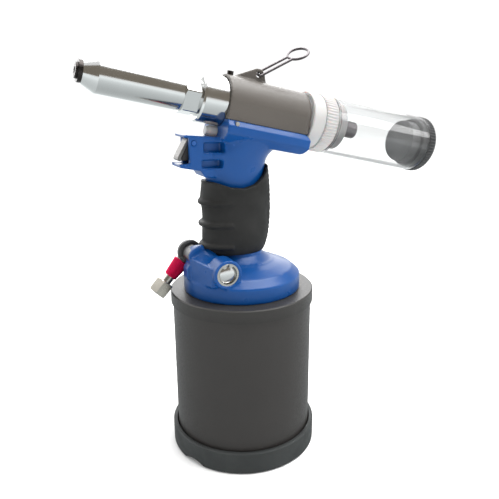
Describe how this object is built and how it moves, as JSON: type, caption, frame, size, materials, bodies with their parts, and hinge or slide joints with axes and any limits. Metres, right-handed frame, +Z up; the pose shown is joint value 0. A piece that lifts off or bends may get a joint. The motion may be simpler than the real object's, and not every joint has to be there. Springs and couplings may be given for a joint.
{
  "type": "pneumatic rivet gun",
  "caption": "Hydro-pneumatic blind riveter: chromed pulling nose, pistol grip with trigger, upright air cylinder with rubber cup, hanger wire and clear stem-collecting bottle.",
  "frame": {"origin": "centre of the underside of the rubber cup", "axes": "+Z up along the air cylinder, +X from the nose towards the collecting bottle, -Y the side with the air valve's plug"},
  "size_m": [0.2876, 0.116, 0.3086],
  "materials": {
    "rubber": "matt, fine grain",
    "cylinder_grey": "satin, slightly rough grey powder coat over an aluminium tube",
    "cap_grey": "satin, slightly rough grey powder coat over an aluminium casting",
    "blue": "gloss blue enamel over an aluminium casting",
    "shell_grey": "satin grey paint over an aluminium shell",
    "chrome": "polished",
    "steel": "machined",
    "dark_steel": "blackened",
    "aluminium": "pale satin",
    "red": "red anodised",
    "black_plastic": "knurled, matt",
    "clear": "clear moulded plastic",
    "brass": "machined",
    "seal": "smooth"
  },
  "bodies": {
    "handle": {"handle_body": "blue", "grip_sleeve": "rubber", "bell_housing": "blue", "base_cup": "rubber", "cylinder_tube": "cylinder_grey", "bottom_plate": "aluminium", "bottom_ring": "steel", "cylinder_cap": "cap_grey", "cap_screws": "steel", "ram_gland": "brass", "ram_seal": "seal", "ram_tube": "steel", "valve_plug": "chrome", "plug_circlip": "steel", "valve_sleeve": "brass", "spool_spring": "steel", "inlet_hub": "steel", "ledge_pins": "steel", "oil_plug": "chrome", "trigger_pin": "steel", "head_cylinder": "chrome", "nose_sleeve": "chrome", "nosepiece": "dark_steel", "head_spring": "steel", "rear_gland": "aluminium", "gland_seal": "seal", "top_cover": "shell_grey", "bleed_screw": "steel", "bottle_adaptor": "aluminium"},
    "ram": {"air_piston": "aluminium", "piston_ring": "seal", "piston_nut": "steel", "hydraulic_ram": "steel"},
    "pulling_head": {"pull_piston": "steel", "pull_seal": "seal", "jaw_case": "dark_steel", "catch_tube": "steel", "pusher_spring": "steel"},
    "gripping_jaws": {"jaws": "dark_steel", "jaw_pusher": "steel"},
    "spool": {"valve_spool": "steel"},
    "hose_swivel": {"inlet_elbow": "black_plastic", "inlet_neck": "steel", "hose_connector": "steel"},
    "slide_sleeve": {"shutoff_sleeve": "red"},
    "trigger": {"trigger_lever": "black_plastic", "trigger_plate": "chrome"},
    "push_rod": {"trigger_rod": "steel"},
    "hanger": {"hanger_wire": "dark_steel"},
    "locking_ring": {"lock_ring": "aluminium"},
    "bottle": {"collector_bottle": "clear"},
    "lid": {"bottle_lid": "black_plastic", "lid_plug": "rubber"}
  },
  "joints": [
    {"name": "trigger_pull", "type": "hinge", "parent": "handle", "child": "trigger", "pos_m": [-0.0394, 0, 0.244], "axis": [0, -1, 0], "range_deg": [0, 12], "stiffness_Nm_per_rad": 0.5, "springref_deg": -5.73},
    {"name": "trigger_rod_push", "type": "slide", "parent": "handle", "child": "push_rod", "axis": [1, 0, 0], "range_m": [0, 0.0018]},
    {"name": "spool_shift", "type": "slide", "parent": "handle", "child": "spool", "axis": [0, -1, 0], "range_m": [0, 0.0046], "deforming": ["spool_spring"]},
    {"name": "ram_stroke", "type": "slide", "parent": "handle", "child": "ram", "axis": [0, 0, 1], "range_m": [0, 0.066]},
    {"name": "head_pull", "type": "slide", "parent": "handle", "child": "pulling_head", "axis": [0.9774, 0, -0.2113], "range_m": [0, 0.0221], "deforming": ["head_spring"]},
    {"name": "jaw_close", "type": "slide", "parent": "pulling_head", "child": "gripping_jaws", "axis": [-0.9774, 0, 0.2113], "range_m": [0, 0.00125], "deforming": ["pusher_spring"]},
    {"name": "hanger_swing", "type": "hinge", "parent": "handle", "child": "hanger", "pos_m": [0.01502, 0, 0.28901], "axis": [0, 1, 0], "range_deg": [-100, 34]},
    {"name": "inlet_swivel", "type": "hinge", "parent": "handle", "child": "hose_swivel", "pos_m": [-0.0384, 0.0112, 0.1608], "axis": [0, 1, 0], "range_deg": [0, 130]},
    {"name": "sleeve_slide", "type": "slide", "parent": "hose_swivel", "child": "slide_sleeve", "axis": [-0.6794, 0, -0.7337], "range_m": [0, 0.004]},
    {"name": "lock_ring_turn", "type": "hinge", "parent": "handle", "child": "locking_ring", "pos_m": [0.06549, 0, 0.25364], "axis": [0.9774, 0, -0.2113], "range_deg": [0, 60]},
    {"name": "bottle_pull", "type": "slide", "parent": "handle", "child": "bottle", "axis": [0.9774, 0, -0.2113], "range_m": [0, 0.04]},
    {"name": "lid_pull", "type": "slide", "parent": "bottle", "child": "lid", "axis": [0.9774, 0, -0.2113], "range_m": [0, 0.03]}
  ],
  "couplings": [
    {"joint": "trigger_rod_push", "follows": "trigger_pull", "m_per_rad": 0.008},
    {"joint": "spool_shift", "follows": "trigger_pull", "m_per_rad": 0.0215},
    {"joint": "head_pull", "follows": "ram_stroke", "ratio": 0.33333},
    {"joint": "jaw_close", "follows": "ram_stroke", "ratio": 0.0182}
  ]
}
